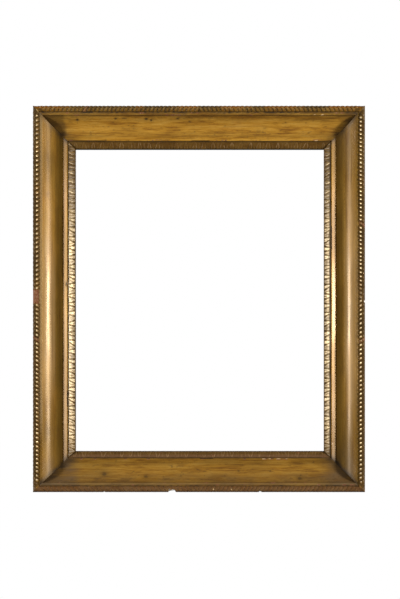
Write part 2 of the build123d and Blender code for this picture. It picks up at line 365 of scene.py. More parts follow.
# small chips down to the gesso: side, t, u, half length, half width
CHIPS = (("bottom", 353.7, 6.2, 1.2, 1.8), ("bottom", 388.5, 6.0, 0.7, 1.6), ("top", 566.0, 18.0, 2.2, 0.9),
         ("top", 551.0, 17.8, 1.2, 0.6), ("bottom", 452.0, 64.2, 4.0, 0.9), ("bottom", 464.0, 64.3, 2.6, 0.7),
         ("bottom", 481.0, 64.2, 3.2, 0.8), ("bottom", 497.0, 64.3, 2.2, 0.7), ("top", 555.0, 64.2, 4.0, 0.9),
         ("right", 428.0, 3.4, 1.0, 0.8), ("left", 505.0, 2.6, 1.0, 0.8))


def edge_loss(side, t, d):
    """How far in from u = 0 the outer edge is broken away."""
    total = np.zeros(np.broadcast(t, d).shape)
    for where, centre, half, far in LOSSES:
        if where == side:
            ragged = 1 + 0.35 * noise(t / 1.9, d / 4.0, 77) + 0.2 * noise(t / 0.9, 0 * t, 78)
            deep = 1.0 - step(10.0, 10.0 + 7.0 * far, d)
            total = np.maximum(total, far * bump(t, centre, half * 0.62, half * 0.5) * ragged * deep)
    return total


def chipped(side, t, u):
    """Where small chips show the gesso."""
    total = np.zeros(np.broadcast(t, u).shape)
    for where, ct, cu, hl, hw in CHIPS:
        if where == side:
            q = np.sqrt(((t - ct) / hl) ** 2 + ((u - cu) / hw) ** 2)
            total = np.maximum(total, 1 - step(0.75, 1.1, q * (1 + 0.4 * noise(t / 1.4, u / 0.9, 71))))
    return total


def rail_field(side, length, t, u, d, s, ends, prof):
    k = SEED[side]
    front = np.broadcast_to(prof.front, t.shape)
    move = front * (0.20 * noise(t / 90, s / 31, k) + 0.08 * noise(t / 41, s / 14, k + 1)
                    + 0.012 * noise(t / 17, s / 4, k + 2))
    move = move + (1 - front) * (0.12 * noise(t / 40, s / 15, k + 3) + 0.05 * noise(t / 2.9, s / 22, k + 4))
    on_bed = front * (u < ROPE_U1 + 0.05)
    move = move * (1 - on_bed) * (1 - step(20.2, 21.5, d) * (u > 64.7) * (d < 34))

    # worn and nicked arrises
    wear = np.zeros(t.shape)
    for centre, half, size, reach in ((FILLET_U0 + 0.5, 0.9, 13.0, 0.34),
                                      (FILLET_U1 - 0.2, 0.9, 17.0, 0.42),
                                      (BEVEL_U1 + 0.5, 1.3, 15.0, 0.5)):
        at = bump(u, centre, half * 0.6, half) * (d < 22) * front * (u > FILLET_U0 - 0.3)
        chip = step(0.50, 0.85, noise(t / size, 0 * t, k + 11) * 0.7 + 0.5 * noise(t / 3.7, 0 * t, k + 12))
        chip = chip if side in FLAT else 0.12 * chip
        move = move - at * chip * reach
        wear = np.maximum(wear, at * chip)
    for where, t0, t1 in FLAKES:
        if where == side:
            at = bump(t, (t0 + t1) / 2, (t1 - t0) / 2, 2.0) * bump(u, 64.0, 1.6, 1.8) * front * (d < 24)
            ragged = step(-0.1, 0.35, fbm(t / 6.0, u / 2.0, k + 14, 3))
            wear = np.maximum(wear, at * ragged)
            move = move - 0.45 * at * ragged

    # the mitre shows as a fine open line
    move = move - 0.35 * np.exp(-(ends / 0.55) ** 2) * front

    # dirt and painted shade: grime and stains, with painted shade in the creases of the top and bottom rails and near
    # the mitres
    patch = fbm(t / 26, s / 9, k + 21, 4)
    fine = fbm(t / 5, s / 2.2, k + 22, 3)
    dirt_and_shade = np.zeros(t.shape)
    # grime in the groove beside the outer moulding; the darkening along the inner edge of the fillet is painted shadow,
    # deeper on the top rail
    if side == "top":
        lined = np.interp(u, (11.0, 15.0, 16.2, 17.6, 18.7), (0.84, 0.78, 0.44, 0.44, 0.66))
    elif side == "bottom":
        lined = np.interp(u, (11.0, 14.2, 15.2, 18.0, 18.7), (0.80, 0.66, 0.26, 0.26, 0.42))
    else:
        lined = np.interp(u, (11.0, 14.4, 15.8), (1.0, 1.0, 0.0)) * (0.10 if side == "left" else 0.04)
    dirt_and_shade = np.maximum(dirt_and_shade, lined * (1 + 0.45 * fine) * (d < 5.2))
    if side in FLAT:
        dirt_and_shade = np.maximum(dirt_and_shade, (0.55 if side == "top" else 0.34) * bump(u, 19.0, 0.7, 1.6) * (d > 5.0) * (d < 12))
        dirt_and_shade = np.maximum(dirt_and_shade, ((0.22 if side == "top" else 0.08) + 0.3 * patch + 0.25 * fine) * bump(u, 22.0, 2.0, 6.0))
        dirt_and_shade = np.maximum(dirt_and_shade, (0.16 + 0.2 * patch) * bump(u, 54.5, 1.0, 3.0))
    elif side == "right":
        dirt_and_shade = np.maximum(dirt_and_shade, (0.24 + 0.3 * fine) * bump(u, 16.0, 2.2, 2.0) * (d < 5.0))
    dirt_and_shade = np.maximum(dirt_and_shade, step(64.55, 64.95, u) * (d > BEVEL_D1 + 0.3))
    dirt_and_shade = np.maximum(dirt_and_shade, 0.9 * np.exp(-(ends / 0.8) ** 2))
    # grime and painted shade near the mitres, reaching further on the left ends of the top and bottom rails and
    # strongest at the lower ends of the side rails
    reach = np.where(t < length / 2, 22.0, 14.0) if side in FLAT else 8.5
    strong = 0.44 if side in FLAT else np.where(t < length / 2, 0.78, 0.52)
    corner = strong * np.exp(-(ends / reach) ** 2) * (1 + 0.8 * patch)
    corner = corner + (0.14 if side in FLAT else 0.10) * np.exp(-(ends / 44.0) ** 2) * (1 + patch)
    if side not in FLAT:
        corner = np.maximum(corner, (0.26 + 0.3 * patch) * step(110, 30, t) * (0.5 + 0.5 * step(30, 44, u)))
    dirt_and_shade = np.maximum(dirt_and_shade, corner * (u > FILLET_U0))
    dirt_and_shade = np.maximum(dirt_and_shade, (0.55 if side in FLAT else 0.16) * step(0.35, 0.8, fine + 0.35 * patch))
    for where, ct, cu, hl, hw, deep in PITS:
        if where == side:
            q = np.sqrt(((t - ct) / hl) ** 2 + ((u - cu) / hw) ** 2)
            q = q * (1 + 0.25 * noise(t / 1.7, u / 1.1, k + 31))
            pit = 1 - step(0.40, 1.15, q)
            move = move - deep * pit * front
            dark = min(0.92, 0.62 + 0.5 * deep) if deep > 0.05 else 0.36
            dirt_and_shade = np.maximum(dirt_and_shade, dark * np.maximum(pit, 0.6 * np.exp(-(q / 1.4) ** 2)) * front)
    for where, t0, t1 in GAPS:
        if where == side:
            at = bump(t, (t0 + t1) / 2, (t1 - t0) / 2, 4.0) * step(63.4, 64.2, u) * front
            move = move - 0.5 * at
            dirt_and_shade = np.maximum(dirt_and_shade, at)
    clamp = edge_loss(side, t, d) - 0.4
    broken = step(-0.2, 0.4, clamp) * (u < 0.9) * (d < 46)
    # at the top-left corner, grime and painted shade beside the mitre on both rails; on the top rail it stands in for
    # the shadow of the left rail
    if side == "top":
        dirt_and_shade = np.maximum(dirt_and_shade, 0.66 * bump(u, 21.0, 4.0, 4.0) * step(38, 27, t + 3 * patch))
    if side == "left":
        dirt_and_shade = np.maximum(dirt_and_shade, 0.60 * bump(u, 19.0, 4.0, 3.0) * step(8, 2, ends + 2 * patch) * (t > length / 2))
    chip = chipped(side, t, u) * front * (d < 24)
    matt = np.zeros(t.shape)
    if side not in FLAT:
        matt = (0.42 if side == "left" else 0.30) * bump(t, 360, 140, 150) * step(53.0, 56.0, u)
        if side == "right":
            matt = matt * (1 - bump(t, 372, 45, 60))
        matt = np.maximum(matt, 0.20 * (bump(t, 530, 50, 60) + bump(t, 225, 30, 50)) * bump(u, 31.0, 11.0, 4.0))
    move = move - 0.25 * chip
    gild = front * (u > 0.3)
    paint = (1 - front) * (u < 0.6) * (d < BACK - 0.4) + front * (u <= 0.3)
    # the leaf is darker and browner on the bottom rail and towards the ends of the rails; on the side rails the bottom
    # of the hollow is painted shade, and the top rail's ends carry painted shadow of the side rails
    wave = 5.0 * noise(u / 9.0, 0 * u, k + 43) + 2.0 * noise(u / 2.5, t / 9.0, k + 44)
    if side == "bottom":
        dull = 0.46 + 0.06 * bump(u, 24.0, 4.0, 9.0)
        dull = dull + 0.22 * step(92, 62, t + wave) + 0.40 * step(540, 610, t + wave)
    elif side == "top":
        dull = 0.02 + 0.22 * bump(u, 52.5, 3.0, 8.0)
        dull = dull + 0.62 * step(64, 55, t + 0.5 * wave) * (u > FILLET_U1) + (0.34 + 0.16 * step(34, 44, u)) * step(575, 620, t - 0.6 * u + wave)
    elif side == "left":
        dull = 0.30 + 0.34 * step(260, 70, t) + 0.30 * step(540, 640, t) - 0.22 * step(650, 700, t)
        dull = np.maximum(dull, 0.74 * bump(u, 49.0, 4.0, 13.0)) * (1 - 0.5 * step(51.0, 54.5, u))
    else:
        dull = 0.36 + 0.38 * step(280, 70, t) + 0.20 * step(480, 660, t)
        dull = np.maximum(dull, 0.68 * bump(u, 48.0, 4.0, 11.0)) * (1 - 0.5 * step(51.0, 54.5, u))
    if side not in FLAT:
        dull = dull + 0.10 * bump(u, 57.0, 2.0, 3.5) * (d > 18.0)
        if side == "right":
            dull = dull * (1 - 0.8 * bump(t, 372, 45, 60) * step(53.0, 56.0, u))
    dull = np.clip(dull + 0.20 * fbm(t / 60, s / 18, k + 41, 3), 0, 0.84)
    # a grey-brown film at the ends of the rails; dust on the bottom rail's flat beside the groove, and on the side
    # rails a pale painted sheen on the flat and either side of the highlight in the hollow
    if side == "bottom":
        film = 0.30 * step(46, 26, u + 3 * patch) + 0.66 * step(96, 66, t + wave) + 0.60 * step(556, 604, t + wave)
        film = np.minimum(film, 0.75)
        dust_and_sheen = 0.40 * bump(u, 16.4, 1.5, 0.9)
    elif side == "left":
        film = 0.16 * step(105, 45, t)
        dust_and_sheen = bump(u, 15.6, 2.6, 1.6) * step(80, 170, t)
        dust_and_sheen = np.maximum(dust_and_sheen, 0.60 * bump(u, 21.5, 4.0, 5.0) * bump(t, 350, 70, 150))
        dust_and_sheen = np.maximum(dust_and_sheen, 0.62 * bump(u, 35.5, 2.5, 4.5) * bump(t, 340, 60, 130))
    elif side == "right":
        film = 0.20 * step(120, 45, t) + 0.24 * step(620, 700, t)
        dust_and_sheen = 0.58 * bump(u, 20.0, 5.5, 4.0) * bump(t, 350, 90, 180)
        dust_and_sheen = np.maximum(dust_and_sheen, 0.55 * bump(u, 34.5, 2.5, 4.5) * bump(t, 360, 60, 130))
    else:
        film = 0.30 * step(575, 620, t - 0.6 * u + wave)
        dust_and_sheen = np.zeros(t.shape)
    film = film * np.clip(0.85 + 0.9 * patch, 0.2, 1.2) * (u > FILLET_U0)
    return {"move": move, "clamp": clamp, "dirt_and_shade": np.clip(dirt_and_shade, 0, 1) * front,
            "wear": np.clip(wear, 0, 1), "gild": gild, "paint": paint, "loss": broken, "chip": chip,
            "dull": dull, "dust_and_sheen": dust_and_sheen * front, "film": film * front,
            "matt": matt * front,
            "mottle": np.full(t.shape, 1.0 if side in FLAT else 0.4)}


def rope_field(side, length, t, u, d, s, ends, prof):
    """Slanted lobes that turn over at the middle of the side, with their inner ends towards the corners."""
    k = SEED[side]
    top = np.broadcast_to(prof.front, t.shape)
    q = np.abs(t - length / 2)
    half = (t > length / 2).astype(float)
    first, second = {"top": (8.06, 8.49), "bottom": (8.67, 8.01), "left": (8.34, 8.85), "right": (8.65, 7.96)}[side]
    pitch = np.where(half > 0.5, second, first)
    lean = 0.40 * (u - 9.5) + 0.16 * np.maximum(u - 9.5, 0)
    along = q - lean + 0.9 * noise(q / 31, half * 9, k + 1) + 0.35 * noise(q / 9, half * 9, k + 2)
    phase = along / pitch
    cell = np.floor(phase)
    f = np.abs(phase - cell - 0.5) * 2
    lobe = np.clip(1 - f ** 2.2, 0, 1) ** 0.70
    size = 0.62 + 0.38 * hashed(cell, half * 3, k + 5)
    lost = (hashed(cell, half * 3, k + 6) > 0.985).astype(float)
    rubbed = step(0.25, 0.7, noise(t / 34, 0 * t, k + 7)) * 0.5

    deep = np.interp(u, (0.2, 2.5, 7.0, 10.5, 12.0), (1.1, 1.5, 1.8, 1.6, 1.0))
    deep = deep * (0.72 if side == "bottom" else 1.0)
    deep = deep * np.where(u > 11.9, np.interp(d, (4.2, 5.4), (1.0, 0.3)), 1.0)
    deep = deep * np.where(u < 0.4, np.interp(d, (6.0, 6.7), (1.0, 0.3)), 1.0)
    on = step(8.0, 12.0, ends)
    crest = step(6.0, 1.0, d)
    fall = (1 - lobe) * (1 - 0.4 * rubbed) + (1 - size) * crest * 0.45 + lost * 0.7 * crest
    move = -deep * on * fall - 0.3 * rubbed * crest * on
    # a plain leaf lies along the mitre
    rib = np.exp(-(ends / 2.6) ** 2)
    vein = np.exp(-(ends / 0.35) ** 2)
    move = move - (1 - on) * (1.15 * (1 - rib) + 0.20 * vein) * np.interp(d, (0, 6.5), (1.0, 0.4))

    # grime with painted shade between the lobes, darkest on the side ropes, and beside the rib of the mitre leaf
    if side in FLAT:
        low = 0.66 if side == "bottom" else 0.26
        gap = np.clip(low + 0.25 * fbm(t / 4, s / 3, k + 13, 3), 0, 1) * step(0.10, 0.2, f) + (0.46 if side == "top" else 0.16) * step(0.15, 0.75, f)
        side_on = 0.60 if side == "bottom" else 0.80
    else:
        gap = step(0.34, 0.76, f)
        side_on = 0.92
    dirt_and_shade = gap * on + (1 - on) * np.clip(0.95 - rib, 0, 1)
    flank = np.where(u < 8.4, np.interp(u, (0.2, 0.9, 6.6, 8.0) if side in FLAT else (0.2, 0.9, 7.1, 8.4), (0.76 * side_on, side_on, side_on, 0.0)), 0.0)
    inner = np.interp(u, (11.0, 11.9), (0.0, 0.55)) if side in FLAT else np.interp(u, (9.8, 11.0, 11.9), (0.0, 0.62, 0.70))
    dirt_and_shade = np.maximum(dirt_and_shade, flank * (0.97 + 0.2 * fbm(t / 7, s / 3, k + 8, 3)))
    dirt_and_shade = np.maximum(dirt_and_shade, inner)
    dirt_and_shade = np.maximum(dirt_and_shade, 0.45 * rubbed * on)
    wear = 0.5 * lost * on + 0.2 * step(0.35, 0.8, fbm(t / 9, s / 3, k + 9, 3))
    red = step(-0.15, 0.45, noise(t / 21, 0 * t, k + 12) + 0.4 * noise(t / 6, s / 4, k + 14))
    red = red * (0.9 if side == "top" else 0.75 if side == "bottom" else 0.25)
    if side == "top":
        red = red * (1 - 0.7 * step(5.6, 8.0, u))
        dirt_and_shade = dirt_and_shade * (1 - 0.62 * red)
    chance = hashed(cell, half * 3, k + 15)
    # pale paint on the lobes: painted highlights on the crests of the side ropes, painted highlight strokes on the top
    # rope, rubbed pale strokes on the bottom rope, and a painted glint along the mitre leaf at the top-left
    if side == "top":
        lit = 0.50 * (1 - step(0.10, 0.45, f)) * bump(u, 5.8, 2.0, 2.0) * (0.2 + 0.8 * chance) * on
    elif side == "bottom":
        lit = 0.42 * (1 - step(0.10, 0.45, f)) * bump(u, 4.6, 1.6, 1.6) * step(0.45, 1.0, chance) * on
    else:
        lit = (1 - step(0.15, 0.60, f)) * bump(u, 8.5, 0.8, 1.3) * (0.45 + 0.55 * chance) * on
    dirt_and_shade = dirt_and_shade * (1 - 0.8 * lit * (side in FLAT))
    if side == "left":
        lit = np.maximum(lit, 0.95 * np.exp(-(ends / 1.6) ** 2) * (t > length / 2) * (u > 4.0))
    # breaks
    if side == "left":
        at = bump(t, 382.5, 12.5, 2.2)
        rough = 1.5 + 0.35 * fbm(t / 3.0, s / 2.4, 91, 3)
        move = move * (1 - at) - at * rough * np.interp(d, (0, 6.0), (1.0, 0.15))
        wear = np.maximum(wear * (1 - at), at)
        dirt_and_shade = dirt_and_shade * (1 - at) + at * np.clip(0.10 + 0.75 * step(4.0, 2.0, u) + 0.5 * step(10.9, 11.9, u), 0, 1)
    if side == "right":
        at = bump(t, 388.0, 7.5, 4.0)
        move = move * (1 - 0.55 * at) - 0.75 * at * np.interp(d, (0, 6.0), (1.0, 0.1))
        dirt_and_shade = np.maximum(dirt_and_shade, 0.42 * at)
    move = move + 0.07 * fbm(t / 2.6, s / 2.2, k + 10, 3) * top
    clamp = edge_loss(side, t, 7.0 + 0 * d) * 1.15
    broken = step(0.3, 0.9, clamp) * (u + np.maximum(move, 0) < clamp + 0.6)
    clamp = np.where(clamp > 0.25, clamp, -1.0)
    chip = chipped(side, t, u) * top
    move = move - 0.3 * chip
    return {"move": move * top, "clamp": clamp, "dirt_and_shade": np.clip(dirt_and_shade, 0, 1) * (1 - broken),
            "wear": np.clip(wear, 0, 1) * (1 - broken), "loss": broken, "chip": chip, "red": red * top, "bright": lit * top,
            "film": (0.80 if side == "bottom" else 0.0) * (1 - lit),
            "sheen": np.full(t.shape, 0.10 if side == "bottom" else 0.25 if side == "top" else 0.76 if side == "right" else 0.92)}


def sight_field(side, length, t, u, d, s, ends, prof):
    """Broad leaves with a mid vein, their tips at the quirk, and darts between them."""
    k = SEED[side]
    top = np.broadcast_to(prof.front, t.shape)
    clear = length - 2 * 70.0
    count = round(clear / 18.4)
    period = clear / count
    v = np.clip((u - 66.2) / (77.6 - 66.2), 0, 1)
    tt = t - length / 2 + 0.9 * noise(t / 37, 0 * t, k + 1) + 0.6 * noise(t / 8, u / 9, k + 2)
    x = tt / period
    cell = np.floor(x)

    def lot(n):
        return hashed(cell, 0 * cell, k + n)

    x = x - cell - 0.5 + 0.06 * (2 * lot(3) - 1)
    x = np.abs(x + (0.26 * lot(13) - 0.06) * (v - 0.5)) * period
    edge = (0.82 + 0.34 * lot(23)) * (0.10 + 0.19 * v ** 0.85) * period + 0.5 * noise(t / 2.7, u / 2.1, k + 8)
    worn = 0.5 + 0.5 * noise(t / 29, 0 * t, k + 4)
    # cut lines: outline of the leaf, its vein, the middle of the dart
    line = 0.7 + 0.8 * v ** 2
    outline = np.exp(-((x - edge) / line) ** 2) * (0.55 + 0.45 * lot(24))
    vein = 0.35 * np.exp(-(x / (0.45 + 0.5 * v ** 2)) ** 2) * step(0.30, 0.55, v) * lot(25)
    dart = 0.65 * np.exp(-((0.5 * period - x) / (0.4 + 0.45 * v ** 2)) ** 2) * step(0.40, 0.7, v)
    cut = np.maximum.reduce([outline, vein, dart]) * step(0.03, 0.14, v)
    # the leaves are rounded over, the darts between them lie lower
    between = step(0.0, 2.2, x - edge) * step(0.15, 0.5, v)
    near = np.minimum(np.abs(x - edge), np.abs(0.5 * period - x) * 1.5)
    round_over = np.clip(1 - near / 2.6, 0, 1) ** 2 * step(0.05, 0.3, v)
    notch = np.maximum.reduce([np.exp(-((x - edge) / (1.5 if side in FLAT else 2.0)) ** 2) * (0.55 + 0.45 * lot(26)),
                               0.6 * np.exp(-(x / 0.9) ** 2) * lot(27)])
    notch = notch * (step(0.68, 0.97, v) if side in FLAT else step(0.50, 0.88, v))
    keep = np.where(u > 77.0, np.interp(u, (77.0, 78.4), (1.0, 0.6)), 1.0) * np.where(d > 31.0, 0.3, 1.0)
    move = -(0.42 * cut * (1 - 0.45 * worn) + 0.20 * round_over + 0.60 * notch
             + 0.12 * between * (0.4 + 0.6 * lot(28))) * keep
    move = move + (0.05 * fbm(t / 2.4, s / 2.0, k + 5, 3) + 0.10 * noise(t / 11, s / 5, k + 15)) * keep
    move = move - 0.3 * np.exp(-(ends / 0.6) ** 2)
    flat = 1.0 if side in FLAT else 0.0
    dirt_and_shade = 0.20 * cut ** 1.2 * (1 - 0.5 * worn) + (0.92 - 0.62 * flat) * notch ** 1.2 + 0.08 * round_over
    dirt_and_shade = dirt_and_shade + (0.16 * between * lot(28) + 0.16 * lot(29) * step(0.2, 0.6, fbm(t / 5, u / 4, k + 18, 2))) * (1 - flat)
    dirt_and_shade = np.clip(dirt_and_shade + 0.16 * flat, 0, 1)
    # rubbed ridges beside the cuts
    rub = np.maximum(np.exp(-((x - edge + 1.3) / 0.7) ** 2), 0.6 * np.exp(-((0.5 * period - x) / 0.6) ** 2))
    rub = rub * step(0.08, 0.25, v) * (1 - step(0.86, 0.97, v)) * np.clip(0.55 + 0.8 * noise(t / 13, u / 5, k + 19), 0, 1) * flat
    dirt_and_shade = dirt_and_shade * (1 - 0.8 * rub)
    scallop = (0.17 if side == "right" else 0.07) + 0.07 * np.clip(x / (0.5 * period), 0, 1)
    dirt_and_shade = np.maximum(dirt_and_shade, 0.85 * (1 - step(scallop - 0.05, scallop + 0.05, v)))
    dirt_and_shade = np.maximum(dirt_and_shade, np.interp(u, (77.1, 77.8), (0.0, 0.96)))
    dirt_and_shade = np.maximum(dirt_and_shade, 0.85 * np.exp(-(ends / 2.2) ** 2))
    dirt_and_shade = np.maximum(dirt_and_shade, 0.40 * step(0.35, 0.85, fbm(t / 11, s / 4, k + 6, 3)))
    # grime and painted shade near the mitres
    dirt_and_shade = np.maximum(dirt_and_shade, 0.45 * np.exp(-(ends / 24.0) ** 2))
    if side == "bottom":
        dirt_and_shade = np.maximum(dirt_and_shade, 0.55 * step(0.40, 0.65, v + 0.12 * noise(t / 23, 0 * t, k + 31)))
    stroke = np.maximum(np.exp(-((x - edge + 1.5) / 1.1) ** 2), 0.8 * np.exp(-((0.5 * period - x) / 0.9) ** 2))
    # the leaves on the side rails are darker towards their upper ends
    upper_darkening = 0.0
    if side not in FLAT:
        upper_darkening = 0.80 * step(480, 680, t) * (1 - stroke * (1 - 0.6 * step(0.7, 0.95, v)))
    dirt_and_shade = np.maximum(dirt_and_shade, upper_darkening)
    wear = 0.5 * step(0.55, 0.9, fbm(t / 13, s / 5, k + 7, 3))
    # painted highlight: the leaves of the side rails are painted paler, most on the leaf tongues and less near the
    # corners; the top and bottom get none
    lit = (1 - step(-2.2, 0.4, x - edge)) * step(0.10, 0.3, v) * (1 - step(0.8, 0.98, v)) * (0.45 * lot(30)) + 0.50
    lit = lit * (1 - flat) * (1 - 0.5 * np.exp(-(ends / 30.0) ** 2)) * (1 - upper_darkening)
    return {"move": move * top * (d < LIP_D - 0.2), "dirt_and_shade": np.clip(dirt_and_shade, 0, 1) * top,
            "wear": wear, "loss": np.zeros(t.shape), "chip": np.zeros(t.shape), "film": np.zeros(t.shape), "leaf": top, "rub": rub * top, "red": top * (0.8 * (1 - step(0.40, 0.65, v)) if side == "bottom" else 0.0), "bright": np.clip(lit, 0, 1) * top, "sheen": np.full(t.shape, 0.15 if side in FLAT else 1.0)}


# ---- materials ------------------------------------------------------------------
class Paint:
    """A node material put together step by step."""

    def __init__(self, name):
        self.mat = bpy.data.materials.new(name)
        self.mat.use_nodes = True
        self.tree = self.mat.node_tree
        self.tree.nodes.clear()
        self.out = self.tree.nodes.new("ShaderNodeOutputMaterial")
        self.shader = self.tree.nodes.new("ShaderNodeBsdfPrincipled")
        self.tree.links.new(self.shader.outputs[0], self.out.inputs[0])

    def put(self, socket, value):
        if isinstance(value, bpy.types.NodeSocket):
            self.tree.links.new(value, socket)
        else:
            socket.default_value = value

    def set(self, **values):
        for key, value in values.items():
            self.put(self.shader.inputs[key.replace("_", " ")], value)

    def attr(self, name, vector=False):
        n = self.tree.nodes.new("ShaderNodeAttribute")
        n.attribute_name = name
        return n.outputs["Vector" if vector else "Fac"]

    def coords(self):
        return self.tree.nodes.new("ShaderNodeTexCoord").outputs["Object"]

    def math(self, op, a, b=0.0, clamp=False):
        n = self.tree.nodes.new("ShaderNodeMath")
        n.operation = op
        n.use_clamp = clamp
        self.put(n.inputs[0], a)
        self.put(n.inputs[1], b)
        return n.outputs[0]

    def scaled(self, vector, sx, sy, sz=1.0, add=(0, 0, 0)):
        n = self.tree.nodes.new("ShaderNodeVectorMath")
        n.operation = "MULTIPLY_ADD"
        self.put(n.inputs[0], vector)
        n.inputs[1].default_value = (sx, sy, sz)
        n.inputs[2].default_value = add
        return n.outputs[0]

    def turned(self, vector, angle):
        n = self.tree.nodes.new("ShaderNodeMapping")
        self.put(n.inputs["Vector"], vector)
        n.inputs["Rotation"].default_value = (0, angle, 0)
        return n.outputs[0]

    def noise(self, vector, scale=1.0, detail=3.0, rough=0.55, distort=0.0):
        n = self.tree.nodes.new("ShaderNodeTexNoise")
        self.put(n.inputs["Vector"], vector)
        n.inputs["Scale"].default_value = scale
        n.inputs["Detail"].default_value = detail
        n.inputs["Roughness"].default_value = rough
        n.inputs["Distortion"].default_value = distort
        return n.outputs[0]

    def spots(self, vector, scale=1.0):
        n = self.tree.nodes.new("ShaderNodeTexVoronoi")
        self.put(n.inputs["Vector"], vector)
        n.inputs["Scale"].default_value = scale
        return n.outputs["Distance"]

    def window(self, value, low, high, to_low=0.0, to_high=1.0):
        n = self.tree.nodes.new("ShaderNodeMapRange")
        n.interpolation_type = "SMOOTHSTEP"
        self.put(n.inputs["Value"], value)
        for key, x in (("From Min", low), ("From Max", high), ("To Min", to_low), ("To Max", to_high)):
            n.inputs[key].default_value = x
        return n.outputs[0]

    def ramp(self, value, *stops):
        n = self.tree.nodes.new("ShaderNodeValToRGB")
        self.put(n.inputs[0], value)
        while len(n.color_ramp.elements) < len(stops):
            n.color_ramp.elements.new(0.5)
        for e, (at, colour) in zip(n.color_ramp.elements, stops):
            e.position = at
            e.color = (*colour, 1.0)
        return n.outputs[0]

    def mix(self, fac, a, b, blend="MIX"):
        n = self.tree.nodes.new("ShaderNodeMix")
        n.data_type = "RGBA"
        n.blend_type = blend
        self.put(n.inputs["Factor"], fac)
        for socket, value in ((n.inputs[6], a), (n.inputs[7], b)):
            self.put(socket, value if isinstance(value, bpy.types.NodeSocket) else (*value, 1.0))
        return n.outputs[2]

    def blend(self, fac, a, b):
        n = self.tree.nodes.new("ShaderNodeMix")
        n.data_type = "FLOAT"
        self.put(n.inputs["Factor"], fac)
        self.put(n.inputs[2], a)
        self.put(n.inputs[3], b)
        return n.outputs[0]

    def bump(self, height, distance, strength=1.0):
        n = self.tree.nodes.new("ShaderNodeBump")
        n.inputs["Strength"].default_value = strength
        n.inputs["Distance"].default_value = distance
        self.put(n.inputs["Height"], height)
        return n.outputs[0]


DIRT_AND_SHADE = (0.040, 0.0225, 0.0085)
BOLE = (0.235, 0.078, 0.034)
GESSO = (0.62, 0.50, 0.36)
CHIP = (0.86, 0.58, 0.29)


